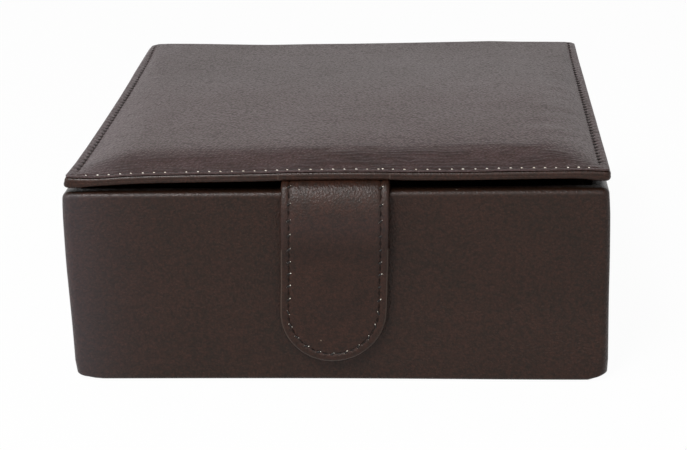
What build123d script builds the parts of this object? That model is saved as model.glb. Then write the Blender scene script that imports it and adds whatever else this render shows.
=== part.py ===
from build123d import *
from math import cos, pi, radians, sin, sqrt
import os

# A leather-covered box with a padded lid. Lengths are in millimetres.
# X runs to the right, Y to the back and Z up. The origin is the centre of the underside.

# Box
box_width = 140.0
box_depth = 150.0
body_height = 51.6
board = 2.5
leather = 1.0
corner_radius = 3.0
base_radius = 1.8
cover_proud = 0.2
rim_turn = 12.0
base_turn = 11.0
back_return = 8.0

# Lining of the box
liner_card = 1.0
liner_suede = 0.8
liner_drop = 5.0
floor_card = 1.2
floor_edge_radius = 1.0
lining_gap = 0.15

# Lid
lid_setback = 0.2
lid_corner_radius = 2.5
lid_board_thickness = 1.5
lid_leather = 0.7
lid_edge_radius = 0.5
cover_edge = 0.5
pad_crown = 1.6
pad_shoulder = 17.0
pad_margin = 3.0
back_fall = 0.5
back_shoulder = 9.0
back_roll = 1.5
lining_lap = 1.5
lid_suede = 0.8
hinge_offset = 0.2

# Tab and its magnet
tab_width = 27.7
tab_end_height = 6.5
tab_front = 1.0
tab_core = 0.8
tab_back = 0.9
tab_clearance = 0.3
tab_rest_gap = 0.2
fold_radius = 1.2
fold_drop = 2.0
root_stack = 6.0
root_tongue = 20.0
notch_clearance = 0.3
core_inset = 3.6
magnet_diameter = 14.0
magnet_thickness = 1.5
magnet_height = 27.0
magnet_clearance = 0.1
bulge_slope = 2.2
keeper_thickness = 0.9

# Stitching
stitch_length = 2.2
stitch_width = 0.6
stitch_height = 0.4
stitch_groove = 0.25
groove_side = 0.1
lid_pitch = 2.9
lid_stitch_inset = 1.8
tab_pitch = 3.5
tab_stitch_inset = 2.1

# Shapes are cut with tools that reach past them by this much.
overrun = 5.0

# Levels, from the underside up
shell_base = cover_proud
board_base = shell_base + leather
floor_level = board_base + board
rim = shell_base + body_height
board_top = rim - leather
tab_thickness = tab_front + tab_core + tab_back
lid_gap = tab_thickness + tab_rest_gap - lid_leather
lid_base = rim + lid_gap
lid_board_base = lid_base + lid_leather
band_top = lid_board_base + lid_board_thickness
margin_top = band_top + cover_edge
crown_top = margin_top + pad_crown

# Places in plan
front = -box_depth / 2
back = box_depth / 2
wall = leather + board
turn_inset = wall + leather
liner = liner_card + liner_suede
lid_width = box_width - 2 * lid_setback
hinge_width = box_width - 2 * back_return
border = (lid_width - hinge_width) / 2
hinge_y = back + hinge_offset
hinge_z = (rim + lid_base) / 2

# The tab folds round a line inside the rim's front corner.
root_base = rim + tab_rest_gap
root_top = root_base + tab_thickness
fold_y = front - tab_clearance + fold_radius
fold_z = root_base - fold_radius
fold_outer = fold_radius + tab_thickness
fold_middle = fold_radius + tab_thickness / 2
tab_top = fold_z - fold_drop
tab_inner_y = fold_y - fold_radius
tab_outer_y = fold_y - fold_outer
tab_axis_y = fold_y - fold_middle * cos(radians(45))
tab_axis_z = fold_z + fold_middle * sin(radians(45))
end_radius = tab_width / 2
end_centre = tab_end_height + end_radius

# Depths of the tab's layers in front of the box
back_layer_y = tab_inner_y - tab_back
core_layer_y = back_layer_y - tab_core
magnet_lift = magnet_thickness - tab_core

# The foam keeps this much height at its edge, where it is trimmed.
pad_foot = leather / 4


def block(x0, x1, y0, y1, z0, z1):
    """A block between six planes."""
    middle = Pos((x0 + x1) / 2, (y0 + y1) / 2, (z0 + z1) / 2)
    return middle * Box(x1 - x0, y1 - y0, z1 - z0)


def across(half, y0, y1, z0, z1):
    """A block that reaches as far to the left as to the right."""
    return block(-half, half, y0, y1, z0, z1)


def slab(width, depth, radius, z0, z1):
    """A slab with rounded corners in plan, centred on the box."""
    return Pos(0, 0, z0) * extrude(RectangleRounded(width, depth, radius), z1 - z0)


def level_edges(part, which):
    """The edges that lie flat at the bottom (0) or at the top (-1) of a part."""
    return part.edges().group_by(Axis.Z)[which]


def inset_block(inset, z0, z1):
    """A square-cornered block set in from the box's outline."""
    return across(box_width / 2 - inset, front + inset, back - inset, z0, z1)


def one_solid(shape):
    """The only solid of a shape, without its wrapper."""
    solids = shape.solids()
    assert len(solids) == 1, f"expected one solid, found {len(solids)}"
    return solids[0]


def carcass_core():
    """The whole space inside the leather: boards, lining and hollow."""
    width = box_width - 2 * leather
    depth = box_depth - 2 * leather
    core = slab(width, depth, corner_radius - leather, board_base, board_top)
    return fillet(level_edges(core, 0), base_radius - leather)


def box_outline():
    """The outside of the box up to its rim."""
    body = slab(box_width, box_depth, corner_radius, shell_base, rim)
    body = fillet(level_edges(body, 0), base_radius)
    return fillet(level_edges(body, -1), leather)


def base_board():
    return carcass_core() & inset_block(0, board_base, floor_level)


def keeper_pocket(depth):
    """A disc let into the outer face of the front board."""
    disc = Cylinder(magnet_diameter / 2, depth, rotation=(90, 0, 0))
    return Pos(0, front + leather + depth / 2, magnet_height) * disc


def front_board():
    panel = carcass_core() & across(box_width, front, front + wall, floor_level, rim)
    return panel - keeper_pocket(keeper_thickness)


def back_board():
    return carcass_core() & across(box_width, back - wall, back, floor_level, rim)


def side_board(side):
    """The left (-1) or the right (1) board, between the front and the back one."""
    outer = side * box_width / 2
    inner = side * (box_width / 2 - wall)
    low, high = sorted((outer, inner))
    panel = block(low, high, front + wall, back - wall, floor_level, rim)
    return carcass_core() & panel


def keeper_plate():
    return keeper_pocket(keeper_thickness)


def leather_shell():
    """All the leather of the box as one skin, before it is cut into its pieces."""
    shell = box_outline() - carcass_core()
    shell += inset_block(wall, rim - rim_turn, rim)
    shell -= inset_block(turn_inset, rim - rim_turn - overrun, rim + overrun)
    shell -= inset_block(base_turn, shell_base - overrun, board_base)
    return shell


def hinge_zone(y0, z0, z1):
    """The stretch of the back wall between the ends of the wall leather."""
    return across(hinge_width / 2, y0, back + overrun, z0, z1)


def wall_leather():
    return leather_shell() - hinge_zone(back - base_turn, shell_base - overrun, rim + overrun)


def back_leather():
    """The leather of the back wall, turned in under the base and straight at the top."""
    half = hinge_width / 2
    low = leather_shell() & hinge_zone(back - base_turn, shell_base - overrun, floor_level)
    return low + across(half, back - leather, back, floor_level, rim)


def inner_hinge_lower():
    """The inner hinge strip, over the rim of the back wall and down its inside."""
    half = hinge_width / 2
    over = across(half, back - turn_inset, back - leather, board_top, rim)
    down = across(half, back - turn_inset, back - wall, rim - rim_turn, rim)
    return over + down


def base_cover():
    """The flat sheet that fills the frame of turned-in leather, a little proud of it."""
    inset = base_turn + lining_gap
    width = box_width - 2 * inset
    depth = box_depth - 2 * inset
    return slab(width, depth, corner_radius, 0, board_base)


def floor_liner():
    inset = wall + liner + lining_gap
    top = floor_level + floor_card + liner_suede
    pad = inset_block(inset, floor_level, top)
    return fillet(level_edges(pad, -1), floor_edge_radius)


def liner_section(length, trim):
    """A wall liner: card below the turned-in leather, and suede that laps over it."""
    top = rim - liner_drop
    lap = rim - rim_turn - lining_gap
    low = across(length / 2, 0, liner, floor_level, lap)
    high = across(length / 2 - trim, leather + lining_gap, liner, floor_level, top)
    panel = low + high
    face = panel.faces().sort_by(Axis.Y)[-1]
    top_edge = face.edges().sort_by(Axis.Z)[-1]
    return fillet(top_edge, (liner - leather - lining_gap) / 2)


def long_liner():
    """The liner of the front or the back wall, which stops short of the leather at its sides."""
    return liner_section(box_width - 2 * wall, leather + lining_gap)


def front_liner():
    return Pos(0, front + wall, 0) * long_liner()


def back_liner():
    return Pos(0, back - wall, 0) * Rot(0, 0, 180) * long_liner()


def side_liner(side):
    """The left (-1) or the right (1) liner, between the front and the back one."""
    length = box_depth - 2 * (wall + liner + lining_gap)
    panel = Rot(0, 0, side * 90) * liner_section(length, 0)
    return Pos(side * (box_width / 2 - wall), 0, 0) * panel


def lid_slab(inset, z0, z1):
    """The lid's outline, set in from its front and side edges, up to the box's back face."""
    width = lid_width - 2 * inset
    radius = lid_corner_radius - inset
    slab_depth = box_depth - inset
    shape = slab(width, slab_depth, radius, z0, z1)
    return Pos(0, inset / 2, 0) * shape


def behind(y, z0, z1):
    """Everything that lies further back than y."""
    return across(box_width, y, back + overrun, z0, z1)


def lid_board():
    plan = lid_slab(lid_leather, lid_board_base, band_top)
    return plan - behind(back - leather, lid_base, crown_top)


def tab_notch():
    """The cut in the lid's edge leather where the tab comes out."""
    half = tab_width / 2 + notch_clearance
    return across(half, front - overrun, front + border + overrun, lid_base - overrun, lid_board_base)


def lid_edge_leather():
    """The leather round the front and side edges of the lid's board and a border under it."""
    ring = lid_slab(0, lid_base, band_top)
    ring = fillet(level_edges(ring, 0), lid_edge_radius)
    ring -= lid_board()
    window = across(hinge_width / 2, front + border, back + overrun, lid_base - overrun, lid_board_base)
    return ring - window - tab_notch() - behind(back - leather, lid_base - overrun, crown_top)


def inner_hinge_upper():
    """The inner hinge strip under the back edge of the lid."""
    half = hinge_width / 2
    return across(half, back - leather - border, back - leather, lid_base, lid_board_base)


def shoulder_drop(reach, fall, share):
    """How far an arc that starts level has dropped, a share of its reach further on."""
    radius = (reach * reach + fall * fall) / (2 * fall)
    run = reach * share
    return radius - sqrt(radius * radius - run * run)


def rise(start_y, start_z, top_y, top_z):
    """An arc from the pad's edge up to its top, level where it ends."""
    half_share = 0.5
    reach = abs(top_y - start_y)
    middle_y = top_y + (start_y - top_y) * half_share
    middle_z = top_z - shoulder_drop(reach, top_z - start_z, half_share)
    return ThreePointArc((start_y, start_z), (middle_y, middle_z), (top_y, top_z))


def straight(start, end):
    """A straight edge, or none where its two ends are one point."""
    return [] if start == end else [Line(start, end)]


def side_profile(inset, low, edge, top, margin):
    """The pad's section across the lid: level in the middle, and falling to both edges."""
    outer = lid_width / 2 - inset
    foot = lid_width / 2 - margin
    level = foot - pad_shoulder
    wire = [
        Line((-outer, low), (-outer, edge)),
        *straight((-outer, edge), (-foot, edge)),
        rise(-foot, edge, -level, top),
        Line((-level, top), (level, top)),
        rise(foot, edge, level, top),
        *straight((foot, edge), (outer, edge)),
        Line((outer, edge), (outer, low)),
        Line((outer, low), (-outer, low)),
    ]
    return make_face(wire)


def front_to_back_profile(inset, low, edge, top, margin, rear):
    """The pad's section from front to back: it stays high at the back edge."""
    outer = front + inset
    foot = front + margin
    level = foot + pad_shoulder
    rear_level = rear - back_shoulder
    wire = [
        Line((outer, low), (outer, edge)),
        *straight((outer, edge), (foot, edge)),
        rise(foot, edge, level, top),
        Line((level, top), (rear_level, top)),
        rise(rear, top - back_fall, rear_level, top),
        Line((rear, top - back_fall), (rear, low)),
        Line((rear, low), (outer, low)),
    ]
    return make_face(wire)


def crowned(inset, low, edge, top, margin, rear):
    """A pillow-shaped block: two long bars with the pad's two sections, where they cross."""
    along = extrude(Plane.XZ * side_profile(inset, low, edge, top, margin), box_depth, both=True)
    section = front_to_back_profile(inset, low, edge, top, margin, rear)
    cross = extrude(Plane.YZ * section, box_width, both=True)
    return along & cross


def lid_pad():
    """The foam: full height in the middle, thin at the stitching, level at the back edge."""
    rear = back - back_roll
    return crowned(pad_margin, band_top, band_top + pad_foot, crown_top - leather, pad_margin, rear)


def lid_cover():
    """The top leather: thin at its sewn edge, over the pad, and rolled down at the back."""
    blank = crowned(0, band_top, margin_top, crown_top, pad_margin, back)
    rear_edge = blank.edges().filter_by(Axis.X).sort_by_distance((0, back, crown_top))[0]
    blank = fillet(rear_edge, back_roll)
    blank &= lid_slab(0, band_top, crown_top + overrun)
    drop = lid_slab(0, lid_base, band_top) & behind(back - leather, lid_base, band_top)
    grooves = stitch_row_front(groove=True) + stitch_row_side(-1, groove=True)
    grooves += stitch_row_side(1, groove=True)
    return blank + drop - lid_pad() - grooves


def lid_lining():
    """Suede-covered card under the lid, lapped over the leather border."""
    half = hinge_width / 2 - lining_gap
    rear = back - leather - border - lining_gap
    fore = front + border + lining_gap
    upper = across(half, fore, rear, lid_base, lid_board_base)
    lap = lining_lap + lining_gap
    lower = across(half + lap, fore - lap, rear + lap, lid_base - lid_suede, lid_base)
    half_pocket = tab_width / 2 + lining_gap
    pocket_rear = front + root_tongue + lining_gap
    pocket_base = lid_board_base - tab_front - lining_gap
    pocket = across(half_pocket, front, pocket_rear, pocket_base, lid_board_base + overrun)
    rounded = fillet(level_edges(lower, 0), lid_suede / 2)
    return upper + rounded - pocket


def tab_root():
    """The tab's fixed end: its full thickness over the rim, then the outer leather alone."""
    half = tab_width / 2
    stack_rear = front + root_stack
    stack = across(half, fold_y, stack_rear, root_base, root_top)
    tongue = across(half, fold_y, front + root_tongue, root_top - tab_front, root_top)
    return stack + tongue


def hinge_fold():
    """The leather that bends between the back wall and the lid."""
    thickness = leather + lid_leather
    return across(hinge_width / 2, back - thickness, back, rim, lid_base)


def tab_fold():
    """The stretch of the tab that bends over the rim."""
    ring = [
        Line((fold_y, root_top), (fold_y, root_base)),
        ThreePointArc(*fold_arc(fold_radius, from_top=True)),
        Line((tab_inner_y, fold_z), (tab_inner_y, tab_top)),
        Line((tab_inner_y, tab_top), (tab_outer_y, tab_top)),
        Line((tab_outer_y, tab_top), (tab_outer_y, fold_z)),
        ThreePointArc(*fold_arc(fold_outer, from_top=False)),
    ]
    return extrude(Plane.YZ * make_face(ring), tab_width / 2, both=True)


def fold_arc(radius, from_top):
    """Three points of the quarter turn round the fold's line."""
    diagonal = radius * sin(radians(45))
    top = (fold_y, fold_z + radius)
    middle = (fold_y - diagonal, fold_z + diagonal)
    side = (fold_y - radius, fold_z)
    return (top, middle, side) if from_top else (side, middle, top)


def tab_outline(inset):
    """The hanging part of the tab seen from the front, set in from its edge."""
    radius = end_radius - inset
    outline = [
        Line((-radius, tab_top), (-radius, end_centre)),
        ThreePointArc((-radius, end_centre), (0, end_centre - radius), (radius, end_centre)),
        Line((radius, end_centre), (radius, tab_top)),
        Line((radius, tab_top), (-radius, tab_top)),
    ]
    return make_face(outline)


def tab_layer(inset, near, far):
    """A layer of the tab between two depths in front of the box."""
    sheet = extrude(Plane.XZ * tab_outline(inset), near - far)
    return Pos(0, near, 0) * sheet


def magnet_disc(extra, thickness, near):
    """A disc in the tab whose back face is at the depth near."""
    disc = Cylinder(magnet_diameter / 2 + extra, thickness, rotation=(90, 0, 0))
    return Pos(0, near - thickness / 2, magnet_height) * disc


def tab_back_leather():
    """The inner leather, with a raised rim that fills the space round the core."""
    sheet = tab_layer(0, tab_inner_y, back_layer_y)
    frame = tab_layer(0, back_layer_y, core_layer_y) - tab_layer(core_inset, back_layer_y, core_layer_y)
    return sheet + frame


def tab_stiffener():
    sheet = tab_layer(core_inset + lining_gap, back_layer_y, core_layer_y)
    return sheet - magnet_disc(magnet_clearance, tab_core, back_layer_y)


def tab_magnet():
    return magnet_disc(0, magnet_thickness, back_layer_y)


def tab_front_leather():
    """The outer leather, raised over the magnet, with a groove for its stitches."""
    sheet = tab_layer(0, core_layer_y, tab_outer_y)
    radius = magnet_diameter / 2
    cone = Cone(radius + bulge_slope, radius, magnet_lift, rotation=(90, 0, 0))
    sheet += Pos(0, tab_outer_y - magnet_lift / 2, magnet_height) * cone
    sheet -= magnet_disc(magnet_clearance, magnet_lift, core_layer_y)
    return sheet - tab_stitch_row(groove=True)


def stitch():
    """One stitch along X, with its outer side up."""
    thread = extrude(SlotOverall(stitch_length, stitch_width), stitch_height)
    return Pos(0, 0, -stitch_groove) * thread


def trough(length):
    """The straight groove that a row of stitches lies in."""
    return Box(length, stitch_width + 2 * groove_side, 2 * stitch_groove)


def row_places(start, end, pitch):
    """Centres of the stitches that fit between two places, evenly spread."""
    count = int((end - start) / pitch)
    spare = (end - start - count * pitch) / 2
    return [start + spare + pitch * (index + 1 / 2) for index in range(count)]


def joined(shapes):
    """One compound of many separate shapes."""
    return Compound(children=shapes)


def stitch_row_front(groove=False):
    """The stitches along the front edge of the lid, or the groove under them."""
    reach = lid_width / 2 - lid_stitch_inset
    y = front + lid_stitch_inset
    if groove:
        return Pos(0, y, margin_top) * trough(2 * reach + stitch_width)
    places = row_places(-reach + stitch_width, reach - stitch_width, lid_pitch)
    return joined([Pos(x, y, margin_top) * stitch() for x in places])


def stitch_row_side(side, groove=False):
    """The stitches along the left (-1) or right (1) edge of the lid, or their groove."""
    x = side * (lid_width / 2 - lid_stitch_inset)
    start = front + lid_stitch_inset
    end = back - back_roll - lid_stitch_inset
    if groove:
        return Pos(x, (start + end) / 2, margin_top) * Rot(0, 0, 90) * trough(end - start)
    places = row_places(start + stitch_width, end - stitch_width, lid_pitch)
    return joined([Pos(x, y, margin_top) * Rot(0, 0, 90) * stitch() for y in places])


def tab_stitch_row(groove=False):
    """The stitches that follow the tab's edge, or the groove under them."""
    radius = end_radius - tab_stitch_inset
    face = Plane((0, tab_outer_y, 0), x_dir=(1, 0, 0), z_dir=(0, -1, 0))
    if groove:
        half = stitch_width / 2 + groove_side
        outline = tab_outline(tab_stitch_inset - half) - tab_outline(tab_stitch_inset + half)
        return Pos(0, tab_outer_y + stitch_groove, 0) * extrude(Plane.XZ * outline, 2 * stitch_groove)
    straight = tab_top - end_centre
    count = int((2 * straight + pi * radius) / tab_pitch)
    pitch = (2 * straight + pi * radius) / count
    threads = []
    for index in range(count):
        run = (index + 1 / 2) * pitch
        if run < straight:
            x, z, turn = -radius, tab_top - run, 90
        elif run < straight + pi * radius:
            angle = (run - straight) / radius
            x, z = -radius * cos(angle), end_centre - radius * sin(angle)
            turn = 90 + angle * 180 / pi
        else:
            x, z, turn = radius, end_centre + run - straight - pi * radius, 90
        threads.append(face * Pos(x, z, 0) * Rot(0, 0, turn) * stitch())
    return joined(threads)


parts = {
    "base_board": base_board(),
    "front_board": front_board(),
    "back_board": back_board(),
    "left_board": side_board(-1),
    "right_board": side_board(1),
    "wall_leather": wall_leather(),
    "back_leather": back_leather(),
    "inner_hinge_lower": inner_hinge_lower(),
    "base_cover": base_cover(),
    "floor_liner": floor_liner(),
    "front_liner": front_liner(),
    "back_liner": back_liner(),
    "left_liner": side_liner(-1),
    "right_liner": side_liner(1),
    "keeper_plate": keeper_plate(),
    "lid_board": lid_board(),
    "lid_edge_leather": lid_edge_leather(),
    "lid_pad": lid_pad(),
    "lid_cover": lid_cover(),
    "lid_lining": lid_lining(),
    "inner_hinge_upper": inner_hinge_upper(),
    "hinge_fold": hinge_fold(),
    "tab_root": tab_root(),
    "tab_fold": tab_fold(),
    "tab_front_leather": tab_front_leather(),
    "tab_back_leather": tab_back_leather(),
    "tab_stiffener": tab_stiffener(),
    "tab_magnet": tab_magnet(),
}
threads = {
    "stitching_front": stitch_row_front(),
    "stitching_left": stitch_row_side(-1),
    "stitching_right": stitch_row_side(1),
    "tab_stitching": tab_stitch_row(),
}

os.makedirs("parts", exist_ok=True)
for name, shape in parts.items():
    export_step(one_solid(shape), f"parts/{name}.step")
for name, shape in threads.items():
    export_step(shape, f"parts/{name}.step")
print("lid hinge line at", round(hinge_y, 3), round(hinge_z, 3))
print("tab hinge line at", round(tab_axis_y, 3), round(tab_axis_z, 3))
print("rim", round(rim, 3), "underside of the lid", round(lid_base, 3), "top", round(crown_top, 3))
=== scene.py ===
# %% [markdown]
# # A leather-covered box with a padded lid
# The box is greyboard wrapped in dark brown leather. Its flat lid is padded under the top leather,
# stitched on three sides and hinged at the back by the leather itself, and a tab with a hidden magnet
# folds down over the front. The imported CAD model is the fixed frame. Every piece is built in the place of
# the CAD solid that it stands for, and gets the soft edges, stitches and leather grain that a CAD solid
# leaves out.

# %% Load the frame
import math

import bmesh
import bpy
import numpy as np
from mathutils import Matrix, Vector, noise


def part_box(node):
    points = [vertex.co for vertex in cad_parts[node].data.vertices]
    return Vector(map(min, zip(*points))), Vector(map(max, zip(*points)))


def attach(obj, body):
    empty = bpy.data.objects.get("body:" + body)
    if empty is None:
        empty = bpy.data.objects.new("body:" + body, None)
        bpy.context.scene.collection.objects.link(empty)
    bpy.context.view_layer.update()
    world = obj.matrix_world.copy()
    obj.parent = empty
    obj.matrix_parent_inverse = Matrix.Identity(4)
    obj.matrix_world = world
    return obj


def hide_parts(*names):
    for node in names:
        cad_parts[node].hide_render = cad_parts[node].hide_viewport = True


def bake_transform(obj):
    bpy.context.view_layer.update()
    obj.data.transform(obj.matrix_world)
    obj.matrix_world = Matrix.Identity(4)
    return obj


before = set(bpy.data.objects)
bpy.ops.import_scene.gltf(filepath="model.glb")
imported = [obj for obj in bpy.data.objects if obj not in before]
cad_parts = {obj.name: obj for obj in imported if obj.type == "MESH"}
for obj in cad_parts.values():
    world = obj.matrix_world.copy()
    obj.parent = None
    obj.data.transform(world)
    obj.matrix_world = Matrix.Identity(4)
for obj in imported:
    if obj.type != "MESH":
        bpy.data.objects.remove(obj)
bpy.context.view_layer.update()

scene = bpy.context.scene
scene.view_settings.view_transform = "Standard"
mm = 0.001


def in_scene(name, data):
    """A new object in the scene, made from its data."""
    item = bpy.data.objects.new(name, data)
    scene.collection.objects.link(item)
    return item


# %% [markdown]
# ## The camera
# A camera can be placed by eye, or solved from corners that show in the photograph. Ten corners of the box
# and the lid were measured and a pinhole camera was fitted to them. It stands half a metre in front of the
# box and a little to its right, and looks down at it by about 18 degrees.

# %% Camera from the fitted corners
eye = Vector((31.541, -531.891, 189.473)) * mm
right = Vector((0.99811371, 0.0562948, -0.02449304))
down = Vector((-0.00609583, -0.306111, -0.95197631))
forward = Vector((-0.0610889, 0.95032992, -0.30519042))
camera_data = bpy.data.cameras.new("camera")
camera_data.lens = 98.088
camera_data.sensor_width = 36.0
camera = in_scene("camera", camera_data)
camera.matrix_world = Matrix.Translation(eye) @ Matrix((right, -down, -forward)).transposed().to_4x4()
scene.camera = camera
print("camera height in mm", round(eye.z / mm), "tilt", round(math.degrees(math.asin(-forward.z)), 1))

# %% [markdown]
# ## Measures from the frame
# The sizes that the pieces share are read from the CAD nodes, so that the two models cannot drift apart.
# They are in millimetres, because a leather worker thinks in them, and one step at the end turns points
# into metres.

# %% Shared measures
def extent(node):
    """The lowest and the highest corner of a CAD node, in millimetres."""
    low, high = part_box(node)
    return np.array(low) / mm, np.array(high) / mm


wall_low, wall_high = extent("wall_leather")
band_low, band_high = extent("lid_edge_leather")
cover_high = extent("lid_cover")[1]
front, back = wall_low[1], cover_high[1]
box_half, lid_half = wall_high[0], cover_high[0]
hinge_half = extent("hinge_fold")[1][0]
shell_base, rim = wall_low[2], wall_high[2]
lid_base, band_top = band_low[2], band_high[2]
leather = 1.0
wall = 3.5
print("rim", round(rim, 2), "underside of the lid", round(lid_base, 2), "top", round(cover_high[2], 2))

# %% [markdown]
# ## Building a mesh from points
# Leather goods are sheets, so most pieces here are a grid of points on the outer side, a second grid on
# the inner side, and a wall round the edge. A Solidify modifier could make the second grid, but with one
# thickness all over, and here the leather is skived thin at the seams, so both grids are worked out from
# formulas. Each point also remembers where it lay at rest. The grain is read from that place, so it stays
# in the leather when a hinge bends.

# %% Helpers for meshes
def mark(piece, name, value_at):
    """Writes a value at every point of a piece, for a material to read. value_at gets a place in
    millimetres."""
    values = piece.data.attributes.new(name, "FLOAT", "POINT").data
    for vertex, value in zip(piece.data.vertices, values):
        value.value = float(value_at(*(vertex.co / mm)))


def finish_mesh(name, points, faces, flat=None):
    """A mesh object from points in millimetres, with outward normals and a memory of its rest place."""
    mesh = bpy.data.meshes.new(name)
    mesh.from_pydata((np.asarray(points) * mm).tolist(), [], faces)
    rest = mesh.attributes.new("hide_place", "FLOAT_VECTOR", "POINT")
    rest.data.foreach_set("vector", (np.asarray(points if flat is None else flat) * mm).ravel())
    work = bmesh.new()
    work.from_mesh(mesh)
    bmesh.ops.remove_doubles(work, verts=work.verts, dist=0.004 * mm)
    bmesh.ops.dissolve_degenerate(work, edges=work.edges, dist=0.002 * mm)
    bmesh.ops.delete(work, geom=[v for v in work.verts if not v.link_faces], context="VERTS")
    bmesh.ops.recalc_face_normals(work, faces=work.faces)
    work.to_mesh(mesh)
    work.free()
    mesh.shade_smooth()
    mesh.set_sharp_from_angle(angle=math.radians(48))
    return in_scene(name, mesh)


def sheet(name, outer, inner, keep=None, flat=None):
    """A closed piece between two grids of points. keep says which cells of the grid there are."""
    outer, inner = np.asarray(outer), np.asarray(inner)
    rows, columns = outer.shape[:2]
    count = rows * columns
    cells = np.pad(np.ones((rows - 1, columns - 1), bool) if keep is None else keep, 1)
    faces = []
    for i, j in zip(*np.nonzero(cells[1:-1, 1:-1])):
        a = int(i * columns + j)
        b, c, d = a + 1, a + 1 + columns, a + columns
        faces.append((a, b, c, d))
        faces.append((count + d, count + c, count + b, count + a))
        for ni, nj, p, q in ((i, j + 1, a, b), (i + 1, j + 2, b, c), (i + 2, j + 1, c, d), (i + 1, j, d, a)):
            if not cells[ni, nj]:
                faces.append((q, p, count + p, count + q))
    return finish_mesh(name, np.concatenate([outer.reshape(-1, 3), inner.reshape(-1, 3)]), faces, flat)


def tube_faces(rings, count, start=0):
    """The faces of a tube with closed ends, whose rings of points are numbered from start."""
    faces = []
    for i in range(rings - 1):
        for j in range(count):
            a, b = start + i * count + j, start + i * count + (j + 1) % count
            faces.append((a, b, b + count, a + count))
    faces.append(tuple(range(start, start + count)))
    faces.append(tuple(reversed(range(start + (rings - 1) * count, start + rings * count))))
    return faces


def arc(centre, radius, start, stop, count):
    """Points on an arc, by angles in degrees."""
    turns = np.radians(np.linspace(start, stop, count))
    return [(centre[0] + radius * math.cos(t), centre[1] + radius * math.sin(t)) for t in turns]


def between_edges(low, high, steps, middle):
    """Places from low to high: the given steps in from each end, and the middle ones."""
    return np.array([low + s for s in steps] + list(middle) + [high - s for s in reversed(steps)])


def waver(x, y, z, size):
    """A smooth value between about -1 and 1 that changes over the given size in millimetres."""
    return noise.noise(Vector((x / size, y / size, z / size)))


def ease(value):
    """Turns a share from 0 to 1 into one that starts and ends level."""
    value = np.clip(value, 0, 1)
    return value * value * (3 - 2 * value)


def bell(offset, width):
    """A smooth bump of height 1 at offset 0."""
    return math.exp(-(offset / width) ** 2)


def lip(inset, width):
    """1 at an edge, falling to 0 at the given width inside it, as a skived or rounded edge does."""
    return max(0.0, 1 - inset / width) ** 2


# %% [markdown]
# ## Colours and nodes
# Colours are written as the sRGB hex values that a picture editor shows. A shader works in linear light,
# so one function converts them. Another adds a node with its settings and links, and every material is
# written with it.

# %% Helpers for materials
def linear(hex_colour):
    """An sRGB hex colour as the linear values that a shader needs."""
    parts = [int(hex_colour[i:i + 2], 16) / 255 for i in (1, 3, 5)]
    return (*[p / 12.92 if p <= 0.04045 else ((p + 0.055) / 1.055) ** 2.4 for p in parts], 1)


def add(tree, kind, settings=None, out=None):
    """Adds a node and gives back one of its outputs, the first in use unless out names another. A setting's
    key is the name or number of an input, or a property of the node. A value that is another node's output
    is linked."""
    node = tree.nodes.new("ShaderNode" + kind)
    for key, value in (settings or {}).items():
        if isinstance(key, str) and key not in node.inputs:
            setattr(node, key, value)
        elif isinstance(value, bpy.types.NodeSocket):
            tree.links.new(value, node.inputs[key])
        else:
            node.inputs[key].default_value = value
    return node.outputs[out] if out else next((socket for socket in node.outputs if socket.enabled), None)


def new_material(name):
    """An empty material and its node tree."""
    material = bpy.data.materials.new(name)
    material.use_nodes = True
    material.node_tree.nodes.clear()
    return material, material.node_tree


def dress(tree, colour, height, strength, depth, surface):
    """Ends a material: its colour, a relief of so many millimetres, and the values of its shader."""
    bump = add(tree, "Bump", {"Strength": strength, "Distance": depth * mm, "Height": height})
    skin = add(tree, "BsdfPrincipled", {"Base Color": colour, "Normal": bump, **surface})
    add(tree, "OutputMaterial", {0: skin})


def per_metre(size):
    """The texture scale that gives a feature of this size in millimetres."""
    return 1 / (size * mm)


in_hide = {"attribute_name": "hide_place"}

# %% [markdown]
# ## Leather
# The leather is chrome-tanned calf or goat, drum-dyed brown, lightly pigmented and waxed. It shows a fine
# pebble of 0.4 to 0.8 mm, a slow mottling where the dye took unevenly, and a soft sheen that turns grey
# at a flat angle, where the wax mirrors the bright room. Its IOR is near 1.5, but the wax lies in the
# grain, so the mirror part is weak seen from straight on. A picture of leather could be mapped on, but
# noise and Voronoi cells give the same look at any size and from any side. The pebble is drawn a little
# coarser than the real one so that it shows.

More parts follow.
